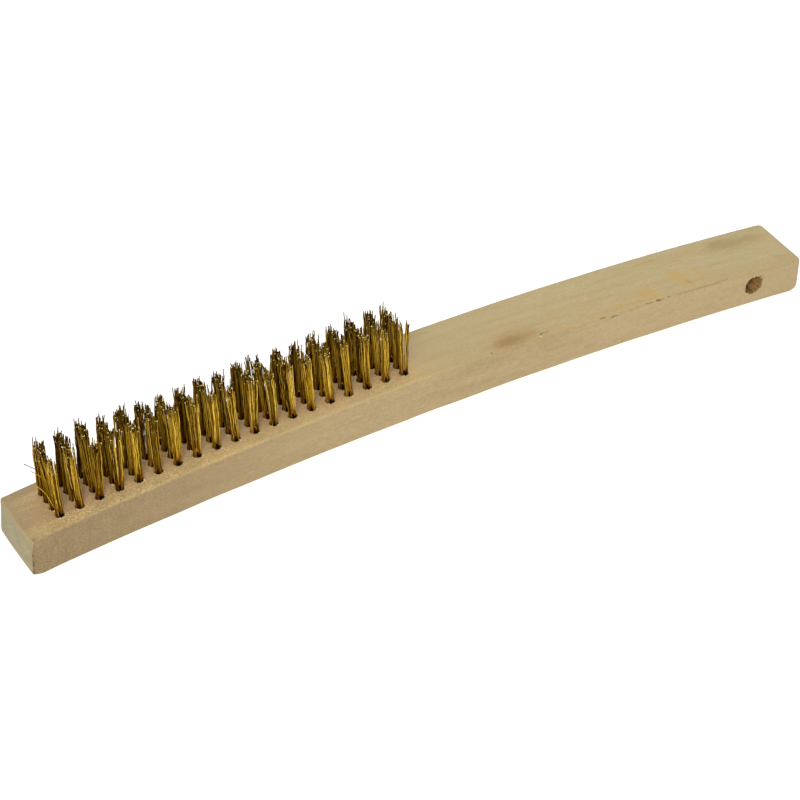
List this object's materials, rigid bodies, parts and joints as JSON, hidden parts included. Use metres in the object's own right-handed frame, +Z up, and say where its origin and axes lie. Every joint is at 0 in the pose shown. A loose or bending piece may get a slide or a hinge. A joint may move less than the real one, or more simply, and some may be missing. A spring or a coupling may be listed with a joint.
{
  "type": "wire scratch brush",
  "caption": "Long curved-handle wire scratch brush: an arched hardwood block with a hanging hole and a field of springy brass wire tufts for cleaning metal and welds.",
  "frame": {"origin": "middle of the block's length and width, on the plane the brush rests on with its bristles up", "axes": "+X along the block from the bristled toe towards the tail with the hanging hole, +Z up out of the bristled face"},
  "size_m": [0.35, 0.0286, 0.0508],
  "materials": {
    "handle_wood": "bare, fine sanded hardwood with open lengthwise grain, unvarnished",
    "bristle_wire": "drawn brass-coloured wire, bright along its length, dull and dark at the cut tips",
    "bristle_root_wire": "the same wire, folded and dark inside its hole",
    "anchor_wire": "flat galvanised anchor wire, hidden in the block"
  },
  "bodies": {
    "block": {"handle_block": "handle_wood", "bristle_roots_01": "bristle_root_wire", "bristle_roots_02": "bristle_root_wire", "bristle_roots_03": "bristle_root_wire", "bristle_roots_04": "bristle_root_wire", "bristle_roots_05": "bristle_root_wire", "bristle_roots_06": "bristle_root_wire", "bristle_roots_07": "bristle_root_wire", "bristle_roots_08": "bristle_root_wire", "bristle_roots_09": "bristle_root_wire", "bristle_roots_10": "bristle_root_wire", "bristle_roots_11": "bristle_root_wire", "bristle_roots_12": "bristle_root_wire", "bristle_roots_13": "bristle_root_wire", "bristle_roots_14": "bristle_root_wire", "bristle_roots_15": "bristle_root_wire", "bristle_roots_16": "bristle_root_wire", "bristle_roots_17": "bristle_root_wire", "bristle_roots_18": "bristle_root_wire", "bristle_roots_19": "bristle_root_wire", "anchor_wires_01": "anchor_wire", "anchor_wires_02": "anchor_wire", "anchor_wires_03": "anchor_wire", "anchor_wires_04": "anchor_wire", "anchor_wires_05": "anchor_wire", "anchor_wires_06": "anchor_wire", "anchor_wires_07": "anchor_wire", "anchor_wires_08": "anchor_wire", "anchor_wires_09": "anchor_wire", "anchor_wires_10": "anchor_wire", "anchor_wires_11": "anchor_wire", "anchor_wires_12": "anchor_wire", "anchor_wires_13": "anchor_wire", "anchor_wires_14": "anchor_wire", "anchor_wires_15": "anchor_wire", "anchor_wires_16": "anchor_wire", "anchor_wires_17": "anchor_wire", "anchor_wires_18": "anchor_wire", "anchor_wires_19": "anchor_wire"},
    "tufts_01": {"bristle_row_01": "bristle_wire"},
    "tufts_02": {"bristle_row_02": "bristle_wire"},
    "tufts_03": {"bristle_row_03": "bristle_wire"},
    "tufts_04": {"bristle_row_04": "bristle_wire"},
    "tufts_05": {"bristle_row_05": "bristle_wire"},
    "tufts_06": {"bristle_row_06": "bristle_wire"},
    "tufts_07": {"bristle_row_07": "bristle_wire"},
    "tufts_08": {"bristle_row_08": "bristle_wire"},
    "tufts_09": {"bristle_row_09": "bristle_wire"},
    "tufts_10": {"bristle_row_10": "bristle_wire"},
    "tufts_11": {"bristle_row_11": "bristle_wire"},
    "tufts_12": {"bristle_row_12": "bristle_wire"},
    "tufts_13": {"bristle_row_13": "bristle_wire"},
    "tufts_14": {"bristle_row_14": "bristle_wire"},
    "tufts_15": {"bristle_row_15": "bristle_wire"},
    "tufts_16": {"bristle_row_16": "bristle_wire"},
    "tufts_17": {"bristle_row_17": "bristle_wire"},
    "tufts_18": {"bristle_row_18": "bristle_wire"},
    "tufts_19": {"bristle_row_19": "bristle_wire"}
  },
  "joints": [
    {"name": "bristle_lean_01", "type": "hinge", "parent": "block", "child": "tufts_01", "pos_m": [-0.1598, 0, 0.01826], "axis": [0, 1, 0], "range_deg": [-10, 10], "stiffness_Nm_per_rad": 0.5},
    {"name": "bristle_lean_02", "type": "hinge", "parent": "block", "child": "tufts_02", "pos_m": [-0.1516, 0, 0.01903], "axis": [0, 1, 0], "range_deg": [-10, 10], "stiffness_Nm_per_rad": 0.5},
    {"name": "bristle_lean_03", "type": "hinge", "parent": "block", "child": "tufts_03", "pos_m": [-0.1434, 0, 0.01975], "axis": [0, 1, 0], "range_deg": [-10, 10], "stiffness_Nm_per_rad": 0.5},
    {"name": "bristle_lean_04", "type": "hinge", "parent": "block", "child": "tufts_04", "pos_m": [-0.1352, 0, 0.02043], "axis": [0, 1, 0], "range_deg": [-10, 10], "stiffness_Nm_per_rad": 0.5},
    {"name": "bristle_lean_05", "type": "hinge", "parent": "block", "child": "tufts_05", "pos_m": [-0.127, 0, 0.02107], "axis": [0, 1, 0], "range_deg": [-10, 10], "stiffness_Nm_per_rad": 0.5},
    {"name": "bristle_lean_06", "type": "hinge", "parent": "block", "child": "tufts_06", "pos_m": [-0.1188, 0, 0.02167], "axis": [0, 1, 0], "range_deg": [-10, 10], "stiffness_Nm_per_rad": 0.5},
    {"name": "bristle_lean_07", "type": "hinge", "parent": "block", "child": "tufts_07", "pos_m": [-0.1106, 0, 0.02222], "axis": [0, 1, 0], "range_deg": [-10, 10], "stiffness_Nm_per_rad": 0.5},
    {"name": "bristle_lean_08", "type": "hinge", "parent": "block", "child": "tufts_08", "pos_m": [-0.1024, 0, 0.02273], "axis": [0, 1, 0], "range_deg": [-10, 10], "stiffness_Nm_per_rad": 0.5},
    {"name": "bristle_lean_09", "type": "hinge", "parent": "block", "child": "tufts_09", "pos_m": [-0.0942, 0, 0.0232], "axis": [0, 1, 0], "range_deg": [-10, 10], "stiffness_Nm_per_rad": 0.5},
    {"name": "bristle_lean_10", "type": "hinge", "parent": "block", "child": "tufts_10", "pos_m": [-0.086, 0, 0.02363], "axis": [0, 1, 0], "range_deg": [-10, 10], "stiffness_Nm_per_rad": 0.5},
    {"name": "bristle_lean_11", "type": "hinge", "parent": "block", "child": "tufts_11", "pos_m": [-0.0778, 0, 0.02402], "axis": [0, 1, 0], "range_deg": [-10, 10], "stiffness_Nm_per_rad": 0.5},
    {"name": "bristle_lean_12", "type": "hinge", "parent": "block", "child": "tufts_12", "pos_m": [-0.0696, 0, 0.02436], "axis": [0, 1, 0], "range_deg": [-10, 10], "stiffness_Nm_per_rad": 0.5},
    {"name": "bristle_lean_13", "type": "hinge", "parent": "block", "child": "tufts_13", "pos_m": [-0.0614, 0, 0.02466], "axis": [0, 1, 0], "range_deg": [-10, 10], "stiffness_Nm_per_rad": 0.5},
    {"name": "bristle_lean_14", "type": "hinge", "parent": "block", "child": "tufts_14", "pos_m": [-0.0532, 0, 0.02492], "axis": [0, 1, 0], "range_deg": [-10, 10], "stiffness_Nm_per_rad": 0.5},
    {"name": "bristle_lean_15", "type": "hinge", "parent": "block", "child": "tufts_15", "pos_m": [-0.045, 0, 0.02514], "axis": [0, 1, 0], "range_deg": [-10, 10], "stiffness_Nm_per_rad": 0.5},
    {"name": "bristle_lean_16", "type": "hinge", "parent": "block", "child": "tufts_16", "pos_m": [-0.0368, 0, 0.02531], "axis": [0, 1, 0], "range_deg": [-10, 10], "stiffness_Nm_per_rad": 0.5},
    {"name": "bristle_lean_17", "type": "hinge", "parent": "block", "child": "tufts_17", "pos_m": [-0.0286, 0, 0.02545], "axis": [0, 1, 0], "range_deg": [-10, 10], "stiffness_Nm_per_rad": 0.5},
    {"name": "bristle_lean_18", "type": "hinge", "parent": "block", "child": "tufts_18", "pos_m": [-0.0204, 0, 0.02554], "axis": [0, 1, 0], "range_deg": [-10, 10], "stiffness_Nm_per_rad": 0.5},
    {"name": "bristle_lean_19", "type": "hinge", "parent": "block", "child": "tufts_19", "pos_m": [-0.0122, 0, 0.02559], "axis": [0, 1, 0], "range_deg": [-10, 10], "stiffness_Nm_per_rad": 0.5}
  ],
  "couplings": [
    {"joint": "bristle_lean_01", "follows": "bristle_lean_10", "ratio": 1},
    {"joint": "bristle_lean_02", "follows": "bristle_lean_10", "ratio": 1},
    {"joint": "bristle_lean_03", "follows": "bristle_lean_10", "ratio": 1},
    {"joint": "bristle_lean_04", "follows": "bristle_lean_10", "ratio": 1},
    {"joint": "bristle_lean_05", "follows": "bristle_lean_10", "ratio": 1},
    {"joint": "bristle_lean_06", "follows": "bristle_lean_10", "ratio": 1},
    {"joint": "bristle_lean_07", "follows": "bristle_lean_10", "ratio": 1},
    {"joint": "bristle_lean_08", "follows": "bristle_lean_10", "ratio": 1},
    {"joint": "bristle_lean_09", "follows": "bristle_lean_10", "ratio": 1},
    {"joint": "bristle_lean_11", "follows": "bristle_lean_10", "ratio": 1},
    {"joint": "bristle_lean_12", "follows": "bristle_lean_10", "ratio": 1},
    {"joint": "bristle_lean_13", "follows": "bristle_lean_10", "ratio": 1},
    {"joint": "bristle_lean_14", "follows": "bristle_lean_10", "ratio": 1},
    {"joint": "bristle_lean_15", "follows": "bristle_lean_10", "ratio": 1},
    {"joint": "bristle_lean_16", "follows": "bristle_lean_10", "ratio": 1},
    {"joint": "bristle_lean_17", "follows": "bristle_lean_10", "ratio": 1},
    {"joint": "bristle_lean_18", "follows": "bristle_lean_10", "ratio": 1},
    {"joint": "bristle_lean_19", "follows": "bristle_lean_10", "ratio": 1}
  ]
}
